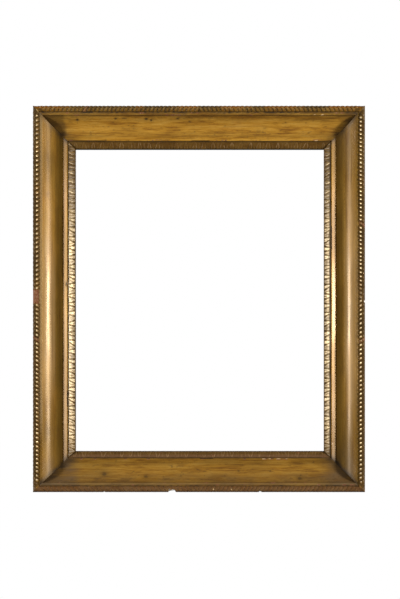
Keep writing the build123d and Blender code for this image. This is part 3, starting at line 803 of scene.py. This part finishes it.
def gilt_rail_material():
    p = Paint("gilt_rail")
    at = p.attr("rco", True)
    dirt_and_shade, wear = p.attr("dirt_and_shade"), p.attr("wear")
    gild, paint, loss = p.attr("gild"), p.attr("paint"), p.attr("loss")

    streak = p.noise(p.scaled(at, 7.0, 330.0), 1.0, 4.0, 0.6)
    broad = p.noise(p.scaled(at, 3.1, 95.0, 1.0, (0, 0, 4.0)), 1.0, 4.0, 0.55)
    patch = p.noise(p.scaled(at, 16.0, 42.0, 1.0, (0, 0, 8.0)), 1.0, 4.0, 0.6)
    grain = p.noise(p.scaled(at, 110.0, 900.0, 1.0, (0, 0, 2.0)), 1.0, 2.0, 0.6)
    speck = p.noise(p.scaled(at, 620.0, 620.0, 1.0, (0, 0, 6.0)), 1.0, 2.0, 0.5)
    brushed = p.noise(p.scaled(at, 14.0, 1500.0, 1.0, (0, 0, 7.0)), 1.0, 2.0, 0.6)

    # toned gold leaf
    tone = p.math("ADD", p.math("MULTIPLY", broad, 0.6), p.math("MULTIPLY", streak, 0.4))
    gold = p.ramp(tone, (0.26, (0.300, 0.124, 0.012)), (0.46, (0.525, 0.250, 0.024)),
                  (0.60, (0.615, 0.312, 0.036)), (0.76, (0.660, 0.378, 0.066)))
    gold = p.mix(p.window(patch, 0.55, 0.75, 0.0, 0.55), gold, (0.45, 0.187, 0.021))
    flow = p.noise(p.scaled(at, 36.0, 430.0, 1.0, (0, 0, 9.0)), 1.0, 3.0, 0.6, 0.7)
    drift = p.noise(p.scaled(at, 13.0, 120.0, 1.0, (0, 0, 11.0)), 1.0, 3.0, 0.55, 0.5)
    flow = p.math("ADD", p.window(flow, 0.30, 0.70, -0.30, 0.30), p.window(drift, 0.32, 0.68, -0.30, 0.30))
    flow = p.math("MULTIPLY", flow, p.attr("mottle"))
    gold = p.mix(p.math("MAXIMUM", flow, 0.0), gold, (0.74, 0.43, 0.085))
    gold = p.mix(p.math("MAXIMUM", p.math("MULTIPLY", flow, -1.6), 0.0), gold, (0.235, 0.092, 0.012))
    # darker browns laid by dull; on the side rails this colour is the painted shade in the bottom of the hollow
    dull_and_shade_brown = p.mix(p.window(p.attr("mottle"), 0.4, 1.0), (0.126, 0.069, 0.010), (0.128, 0.065, 0.012))
    gold = p.mix(p.attr("dull"), gold, dull_and_shade_brown)
    film = p.attr("film")
    gold = p.mix(film, gold, (0.205, 0.122, 0.053))
    # pale dust on the bottom rail's flat; on the side rails this pale colour is a painted sheen
    gold = p.mix(p.math("MULTIPLY", p.attr("dust_and_sheen"), 0.5), gold, (0.47, 0.33, 0.165))
    gold = p.mix(p.window(streak, 0.38, 0.27, 0.0, 0.65), gold, (0.185, 0.078, 0.014))
    gold = p.mix(p.window(patch, 0.40, 0.28, 0.0, 0.45), gold, (0.20, 0.088, 0.016))
    gold = p.mix(p.math("MULTIPLY", p.window(speck, 0.68, 0.80, 0.0, 0.45), p.attr("mottle")), gold, (0.14, 0.062, 0.016))
    # grime and painted shade darken the leaf towards one dark colour
    grime_and_shade = p.math("MULTIPLY", dirt_and_shade, p.window(patch, 0.2, 0.75, 1.15, 0.85), True)
    gold = p.mix(grime_and_shade, gold, DIRT_AND_SHADE)
    bare = p.mix(p.window(speck, 0.52, 0.72), BOLE, (0.46, 0.33, 0.20))
    worn = p.math("MULTIPLY", wear, p.window(streak, 0.3, 0.55, 0.55, 1.0), True)
    gold = p.mix(worn, gold, bare)

    # raw, aged softwood at the back and in the rebate
    rings = p.noise(p.scaled(at, 4.5, 150.0, 1.0, (0, 0, 3.0)), 1.0, 5.0, 0.62, 0.4)
    fibre = p.noise(p.scaled(at, 42.0, 2400.0, 1.0, (0, 0, 1.0)), 1.0, 2.0, 0.6)
    stain = p.noise(p.scaled(at, 9.0, 22.0, 1.0, (0, 0, 5.0)), 1.0, 4.0, 0.6)
    wood = p.ramp(rings, (0.32, (0.205, 0.118, 0.056)), (0.48, (0.330, 0.205, 0.105)),
                  (0.66, (0.415, 0.275, 0.150)))
    wood = p.mix(p.window(fibre, 0.60, 0.72, 0.0, 0.5), wood, (0.13, 0.073, 0.034))
    wood = p.mix(p.window(stain, 0.52, 0.78, 0.0, 0.75), wood, (0.125, 0.072, 0.036))
    # ochre wash on the outer edges, rubbed thin
    wash = p.mix(p.window(streak, 0.35, 0.65), (0.120, 0.060, 0.019), (0.200, 0.110, 0.036))
    rub = p.math("MULTIPLY", paint, p.window(patch, 0.46, 0.70, 1.0, 0.35), True)
    base = p.mix(rub, wood, wash)
    base = p.mix(gild, base, gold)
    base = p.mix(loss, base, p.mix(p.window(speck, 0.3, 0.6), GESSO, (0.80, 0.72, 0.60)))
    base = p.mix(p.attr("chip"), base, CHIP)

    rough_gold = p.math("ADD", p.blend(p.math("MAXIMUM", grime_and_shade, p.math("MAXIMUM", p.attr("matt"), p.math("MULTIPLY", film, 0.4))), 0.262, 0.62), p.math("MULTIPLY", p.math("SUBTRACT", streak, 0.5), 0.22))
    rough_gold = p.blend(worn, rough_gold, 0.7)
    rough = p.blend(gild, 0.78, rough_gold)
    metal = p.math("MULTIPLY", p.math("MULTIPLY", gild, p.math("SUBTRACT", 1.0, grime_and_shade)), 0.06)
    height = p.math("ADD", p.math("MULTIPLY", streak, 0.42), p.math("MULTIPLY", grain, 0.05))
    height = p.math("ADD", height, p.math("MULTIPLY", speck, 0.03))
    height = p.math("ADD", height, p.math("MULTIPLY", brushed, 0.55))
    height = p.blend(gild, p.math("ADD", p.math("MULTIPLY", fibre, 0.8), p.math("MULTIPLY", rings, 1.2)), height)
    p.set(Base_Color=base, Roughness=p.math("MAXIMUM", rough, 0.2), Metallic=metal,
          Normal=p.bump(height, 0.00035, 0.38))
    p.set(Specular_IOR_Level=0.27, Specular_Tint=(1.0, 0.975, 0.88, 1.0), Coat_Weight=0.18, Coat_Roughness=0.60)
    return p.mat


def gilt_ornament_material():
    p = Paint("gilt_ornament")
    at = p.attr("rco", True)
    dirt_and_shade, wear, loss = p.attr("dirt_and_shade"), p.attr("wear"), p.attr("loss")
    patch = p.noise(p.scaled(at, 34.0, 60.0), 1.0, 4.0, 0.6)
    speck = p.noise(p.scaled(at, 520.0, 700.0, 1.0, (0, 0, 6.0)), 1.0, 3.0, 0.55)
    rope = p.ramp(patch, (0.30, (0.230, 0.108, 0.014)), (0.50, (0.320, 0.160, 0.021)),
                  (0.72, (0.380, 0.210, 0.038)))
    leaf = p.ramp(patch, (0.30, (0.155, 0.070, 0.013)), (0.50, (0.222, 0.108, 0.021)),
                  (0.72, (0.280, 0.150, 0.036)))
    red = p.attr("red")
    rope = p.mix(red, rope, (0.40, 0.142, 0.008))
    leaf = p.mix(red, leaf, (0.235, 0.122, 0.062))
    leaf = p.mix(p.math("MULTIPLY", p.attr("rub"), 0.9), leaf, (0.45, 0.275, 0.125))
    gold = p.mix(p.attr("leaf"), rope, leaf)
    # painted highlight: pale gold laid where the bright mask lies
    gold = p.mix(p.math("MULTIPLY", p.attr("bright"), p.blend(p.attr("leaf"), 0.85, 0.45)), gold, (0.74, 0.60, 0.31))
    # grime and painted shade darken the ornament towards the soil colour
    grime_and_shade = p.math("MULTIPLY", dirt_and_shade, p.window(patch, 0.25, 0.75, 1.2, 0.85), True)
    grime_and_shade = p.math("MAXIMUM", grime_and_shade, p.window(speck, 0.68, 0.80, 0.0, 0.55))
    soil_and_shade = p.mix(p.window(speck, 0.35, 0.65), (0.050, 0.0265, 0.0070), (0.100, 0.051, 0.013))
    russet = p.math("MULTIPLY", red, p.blend(p.attr("leaf"), 0.8, 0.0))
    base = p.mix(grime_and_shade, gold, p.mix(russet, soil_and_shade, (0.098, 0.042, 0.0065)))
    base = p.mix(p.attr("film"), base, p.mix(p.window(patch, 0.35, 0.65), (0.150, 0.066, 0.022), (0.195, 0.098, 0.040)))
    worn = p.math("MULTIPLY", wear, p.window(speck, 0.32, 0.5, 0.4, 1.0), True)
    bare = p.mix(p.window(speck, 0.52, 0.66), BOLE, (0.40, 0.20, 0.11))
    base = p.mix(worn, base, bare)
    base = p.mix(loss, base, p.mix(p.window(speck, 0.3, 0.55), GESSO, (0.84, 0.77, 0.66)))
    base = p.mix(p.attr("chip"), base, CHIP)
    clean = p.math("MULTIPLY", p.math("SUBTRACT", 1.0, grime_and_shade), p.math("SUBTRACT", 1.0, worn))
    clean = p.math("MULTIPLY", clean, p.math("SUBTRACT", 1.0, loss))
    smooth = p.math("ADD", p.window(patch, 0.3, 0.7, 0.31, 0.25), p.math("MULTIPLY", p.attr("leaf"), 0.06))
    rough = p.blend(clean, 0.80, smooth)
    p.set(Base_Color=base, Roughness=rough, Metallic=p.math("MULTIPLY", clean, 0.16),
          Normal=p.bump(p.math("ADD", p.math("MULTIPLY", speck, 0.7), p.math("MULTIPLY", patch, 0.3)), 0.0003, 0.5))
    coat = p.math("MULTIPLY", p.math("MULTIPLY", clean, p.attr("sheen")), p.blend(p.attr("leaf"), 1.0, 0.42))
    p.set(Specular_IOR_Level=0.25, Specular_Tint=(1.0, 0.90, 0.55, 1.0), Coat_Weight=coat, Coat_Roughness=0.30,
          Coat_Tint=(1.0, 0.97, 0.90, 1.0))
    return p.mat


def key_wood_material(name, angle):
    p = Paint(name)
    at = p.turned(p.coords(), angle)
    rings = p.noise(p.scaled(at, 14.0, 60.0, 260.0), 1.0, 5.0, 0.6, 0.5)
    fibre = p.noise(p.scaled(at, 120.0, 900.0, 2600.0), 1.0, 2.0, 0.6)
    stain = p.noise(p.scaled(at, 60.0, 60.0, 60.0), 1.0, 3.0, 0.6)
    wood = p.ramp(rings, (0.32, (0.085, 0.042, 0.020)), (0.50, (0.150, 0.078, 0.037)),
                  (0.68, (0.215, 0.122, 0.060)))
    wood = p.mix(p.window(fibre, 0.58, 0.72, 0.0, 0.6), wood, (0.050, 0.026, 0.013))
    wood = p.mix(p.window(stain, 0.5, 0.8, 0.0, 0.5), wood, (0.060, 0.033, 0.018))
    p.set(Base_Color=wood, Roughness=p.window(fibre, 0.3, 0.7, 0.55, 0.75),
          Normal=p.bump(p.math("ADD", fibre, rings), 0.0003, 0.6))
    return p.mat


def old_metal_material(name, bright, dull, spot, rough, metal, scale):
    p = Paint(name)
    at = p.coords()
    cloud = p.noise(at, scale, 4.0, 0.6)
    fine = p.noise(at, scale * 9, 3.0, 0.6)
    scratch = p.noise(p.scaled(at, 260.0, 2600.0, 900.0), 1.0, 2.0, 0.5)
    colour = p.mix(p.window(cloud, 0.38, 0.62), bright, dull)
    dark = p.window(fine, 0.58, 0.74, 0.0, 0.85)
    colour = p.mix(dark, colour, spot)
    colour = p.mix(p.window(scratch, 0.66, 0.74, 0.0, 0.35), colour, bright)
    p.set(Base_Color=colour, Metallic=p.blend(dark, metal, 0.35 * metal),
          Roughness=p.blend(dark, p.window(cloud, 0.3, 0.7, rough, rough + 0.18), 0.75),
          Normal=p.bump(p.math("ADD", p.math("MULTIPLY", fine, 0.7), p.math("MULTIPLY", scratch, 0.3)), 0.00012, 0.6))
    return p.mat


GILT_RAIL = gilt_rail_material()
GILT_ORNAMENT = gilt_ornament_material()
KEY_A = key_wood_material("key_wood_a", math.radians(45))
KEY_B = key_wood_material("key_wood_b", math.radians(-45))
BRASS = old_metal_material("tarnished_brass", (0.56, 0.37, 0.13), (0.33, 0.205, 0.072),
                           (0.085, 0.050, 0.021), 0.34, 0.9, 170.0)
SCREW_BRASS = old_metal_material("worn_screw_brass", (0.62, 0.44, 0.18), (0.36, 0.235, 0.090),
                                 (0.070, 0.042, 0.019), 0.30, 0.92, 420.0)
IRON = old_metal_material("rusty_iron", (0.16, 0.105, 0.070), (0.115, 0.056, 0.026),
                          (0.050, 0.024, 0.012), 0.58, 0.55, 520.0)


# ---- the gilded pieces -------------------------------------------------------------
RAIL, ROPE, SIGHT = rail_profile(), rope_profile(), sight_profile()


def prism(bm, outline, origin, ax, ay, az, depth, grow_back):
    """A closed prism in bm: outline in ax, ay from -grow_back to depth along az."""
    low = [bm.verts.new(origin + ax * x + ay * y - az * grow_back) for x, y in outline]
    high = [bm.verts.new(origin + ax * x + ay * y + az * depth) for x, y in outline]
    n = len(outline)
    faces = [bm.faces.new(low[::-1]), bm.faces.new(high)]
    for i in range(n):
        j = (i + 1) % n
        faces.append(bm.faces.new((low[i], low[j], high[j], high[i])))
    return faces


def cutters(side):
    """Key pockets and nail recesses of one rail, as one mesh object."""
    bm = bmesh.new()
    g = 0.16
    half, end, waist = KEY_LEN / 2 + g, KEY_END / 2 + g, KEY_WAIST / 2 + g
    outline = [(-half, -end), (0, -waist), (half, -end), (half, end), (0, waist), (-half, end)]
    mm = 0.001
    for sx in (-1, 1):
        for sz in (-1, 1):
            name = ("top" if sz > 0 else "bottom", "left" if sx < 0 else "right")
            if side not in name:
                continue
            x, z = sx * (W / 2 - KEY_U), H / 2 + sz * (H / 2 - KEY_U)
            ax = Vector((sx, 0, -sz)).normalized()
            ay = ax.cross(Vector((0, -1, 0)))
            prism(bm, [(a * mm, b * mm) for a, b in outline],
                  Vector((x, Y0 + BACK, z)) * mm, ax, ay, Vector((0, -1, 0)),
                  (KEY_DEEP + 0.1) * mm, 2 * mm)
            if side in FLAT:
                centre = Vector((sx * (W / 2 - 30.0), Y0 + 36.0, 0.0 if sz < 0 else H)) * mm
                az, ax = Vector((0, 0, -sz)), Vector((1, 0, 0))
            else:
                centre = Vector((sx * W / 2, Y0 + 43.0, 24.0 if sz < 0 else H - 24.0)) * mm
                az, ax = Vector((-sx, 0, 0)), Vector((0, 0, 1))
            ay = az.cross(ax)
            ring = [(2.75 * mm * math.cos(a), 2.75 * mm * math.sin(a))
                    for a in np.linspace(0, 2 * math.pi, 20, endpoint=False)]
            prism(bm, ring, centre, ax, ay, az, 1.85 * mm, 2 * mm)
    bmesh.ops.recalc_face_normals(bm, faces=bm.faces[:])
    layer = bm.loops.layers.uv.new("OFBake")
    for i, f in enumerate(bm.faces):
        n = len(f.loops)
        for j, loop in enumerate(f.loops):
            a = 2 * math.pi * j / n
            loop[layer].uv = (0.02 + 0.0045 * (i % 50) + 0.002 * math.cos(a), 0.9925 + 0.005 * math.sin(a))
    mesh = bpy.data.meshes.new("cutter_" + side)
    bm.to_mesh(mesh)
    bm.free()
    obj = bpy.data.objects.new("cutter_" + side, mesh)
    bpy.context.scene.collection.objects.link(obj)
    return obj


def mend(mesh, side, prof):
    """Give the points that a cut has made their place along the side and around the profile."""
    n = len(mesh.vertices)
    co, rco = np.empty(3 * n, np.float32), np.empty(3 * n, np.float32)
    paint = np.empty(n, np.float32)
    mesh.vertices.foreach_get("co", co)
    mesh.attributes["rco"].data.foreach_get("vector", rco)
    mesh.attributes["paint"].data.foreach_get("value", paint)
    co, rco = co.reshape(-1, 3) * 1000.0, rco.reshape(-1, 3)
    t = co[:, 0] + W / 2 if side in FLAT else co[:, 2]
    u = {"bottom": co[:, 2], "top": H - co[:, 2], "left": co[:, 0] + W / 2, "right": W / 2 - co[:, 0]}[side]
    d = co[:, 1] - Y0
    new = np.flatnonzero(np.abs(rco[:, 0] * 1000.0 - t) > 0.05)
    a = np.stack([prof.u, prof.d], -1)
    b = np.roll(a, -1, 0) - a
    p = np.stack([u[new], d[new]], -1)[:, None, :] - a[None]
    f = np.clip((p * b).sum(-1) / np.maximum((b * b).sum(-1), 1e-9), 0, 1)
    i = np.linalg.norm(p - f[..., None] * b, axis=-1).argmin(1)
    s = prof.s[i] + f[np.arange(len(new)), i] * np.linalg.norm(b, axis=-1)[i]
    rco[new] = np.stack([t[new] * 0.001, s * 0.001, np.full(len(new), SEED[side] * 0.37)], -1)
    paint[new] = np.where((u[new] < 0.1) & (d[new] < BACK - 0.4), 1.0, paint[new])
    mesh.attributes["rco"].data.foreach_set("vector", rco.astype(np.float32).ravel())
    mesh.attributes["paint"].data.foreach_set("value", paint)


def cut(obj, tool, side, prof):
    mod = obj.modifiers.new("cut", "BOOLEAN")
    mod.operation = "DIFFERENCE"
    mod.solver = "EXACT"
    mod.object = tool
    tool.hide_render = True
    bpy.context.view_layer.update()
    graph = bpy.context.evaluated_depsgraph_get()
    made = bpy.data.meshes.new_from_object(obj.evaluated_get(graph))
    obj.modifiers.clear()
    old = obj.data
    made.name = old.name + "_cut"
    obj.data = made
    bpy.data.meshes.remove(old)
    used = tool.data
    bpy.data.objects.remove(tool)
    bpy.data.meshes.remove(used)
    made.set_sharp_from_angle(angle=math.radians(50))
    mend(made, side, prof)


def finish_piece(obj, node, material):
    obj.data.materials.clear()
    obj.data.materials.append(material)
    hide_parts(node)
    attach(obj, "frame")


for side in SIDES:
    rail = strip("gilded_rail_" + side, side, RAIL, 1.5, rail_field, 2)
    cut(rail, cutters(side), side, RAIL)
    finish_piece(rail, "rail_" + side, GILT_RAIL)
    rope = strip("carved_rope_" + side, side, ROPE, 0.6, rope_field, 5)
    finish_piece(rope, "rope_" + side, GILT_ORNAMENT)
    sight = strip("carved_sight_" + side, side, SIGHT, 0.6, sight_field, 4)
    finish_piece(sight, "sight_" + side, GILT_ORNAMENT)


# ---- the plain pieces keep their own shape ---------------------------------------------
def dress(node, material, bevel=0.0, angle=35.0):
    obj = NODES[node]
    if obj.material_slots:
        for s in obj.material_slots:
            s.material = material
    else:
        obj.data.materials.append(material)
    if bevel:
        weld = obj.modifiers.new("weld", "WELD")
        weld.merge_threshold = 0.000004
        edge = obj.modifiers.new("bevel", "BEVEL")
        edge.width = bevel * 0.001
        edge.segments = 2
        edge.limit_method = "ANGLE"
        edge.angle_limit = math.radians(angle)


for name, material in (("top_left", KEY_A), ("bottom_right", KEY_A),
                       ("top_right", KEY_B), ("bottom_left", KEY_B)):
    dress("corner_key_" + name, material)
dress("corner_nails", IRON)
for side in ("left", "right"):
    dress("hanger_strap_" + side, BRASS, 0.25)
    dress("hanger_ring_" + side, BRASS)
    for level in ("lower", "upper"):
        dress("turn_button_" + side + "_" + level, BRASS, 0.25)
dress("hanger_screws", SCREW_BRASS, 0.12)
dress("turn_button_screws", SCREW_BRASS, 0.12)


# ---- stage, light and camera -------------------------------------------------------------
def emitter(name, colour, strength):
    mat = bpy.data.materials.new(name)
    mat.use_nodes = True
    nt = mat.node_tree
    nt.nodes.clear()
    e = nt.nodes.new("ShaderNodeEmission")
    e.inputs["Color"].default_value = (*colour, 1.0)
    e.inputs["Strength"].default_value = strength
    o = nt.nodes.new("ShaderNodeOutputMaterial")
    nt.links.new(e.outputs[0], o.inputs[0])
    return mat


def unseen_by_light(obj):
    obj.visible_diffuse = False
    obj.visible_glossy = False
    obj.visible_transmission = False
    obj.visible_volume_scatter = False
    obj.visible_shadow = False


def floor_and_backdrop():
    pale = emitter("pale_studio", (1.0, 1.0, 1.0), 1.0)
    bm = bmesh.new()
    bmesh.ops.create_circle(bm, cap_ends=True, segments=96, radius=38.0)
    mesh = bpy.data.meshes.new("floor")
    bm.to_mesh(mesh)
    bm.free()
    floor = bpy.data.objects.new("floor", mesh)
    floor.location = (0, 0, -0.0006)
    bm = bmesh.new()
    bmesh.ops.create_uvsphere(bm, u_segments=64, v_segments=32, radius=40.0)
    bmesh.ops.reverse_faces(bm, faces=bm.faces[:])
    mesh = bpy.data.meshes.new("backdrop")
    bm.to_mesh(mesh)
    bm.free()
    backdrop = bpy.data.objects.new("backdrop", mesh)
    for obj in (floor, backdrop):
        obj.data.materials.append(pale)
        bpy.context.scene.collection.objects.link(obj)
        unseen_by_light(obj)


def softbox(name, place_at, aim, width, height, power):
    data = bpy.data.lights.new(name, "AREA")
    data.shape = "RECTANGLE"
    data.size, data.size_y = width, height
    data.energy = power
    obj = bpy.data.objects.new(name, data)
    obj.location = place_at
    obj.rotation_euler = (Vector(aim) - Vector(place_at)).to_track_quat("-Z", "Y").to_euler()
    obj.visible_camera = False
    bpy.context.scene.collection.objects.link(obj)
    return obj


floor_and_backdrop()
CENTRE = Vector((0, -0.02, 0.378))
LIGHT_A, LIGHT_R = math.radians(65.0), 6.0
for sign, name, power in ((-1, "softbox_left", 310.0), (1, "softbox_right", 390.0)):
    at = CENTRE + Vector((sign * LIGHT_R * math.sin(LIGHT_A), -LIGHT_R * math.cos(LIGHT_A), 0.40))
    softbox(name, at, CENTRE, 0.50, 1.30, power)
softbox("rear_fill", (0.0, 2.6, 1.5), (0, 0.02, 0.38), 2.0, 1.6, 60.0)

world = bpy.data.worlds.new("studio")
bpy.context.scene.world = world
world.use_nodes = True
world.node_tree.nodes["Background"].inputs[0].default_value = (1.0, 0.98, 0.95, 1.0)
world.node_tree.nodes["Background"].inputs[1].default_value = 0.035

DIST = 1.700
OFF_X, OFF_Z = 0.100, -0.165
cam = bpy.data.cameras.new("camera")
cam.sensor_width = 36.0
SCALE = 511.4            # pixels to a metre in the plane of the rails
cam.lens = SCALE * DIST * 36.0 / 599.0
cam.shift_x = (1.05 - OFF_X * SCALE) / 599.0
cam.shift_y = (-0.55 - OFF_Z * SCALE) / 599.0
cam.clip_start, cam.clip_end = 0.05, 200.0
camera = bpy.data.objects.new("camera", cam)
camera.location = (OFF_X, -0.026 - DIST, 0.378 + OFF_Z)
camera.rotation_euler = (math.radians(90), 0, 0)
bpy.context.scene.collection.objects.link(camera)
bpy.context.scene.camera = camera

bpy.context.scene.view_settings.view_transform = "Standard"
bpy.context.scene.view_settings.look = "None"
bpy.context.scene.cycles.sample_clamp_indirect = 1.0
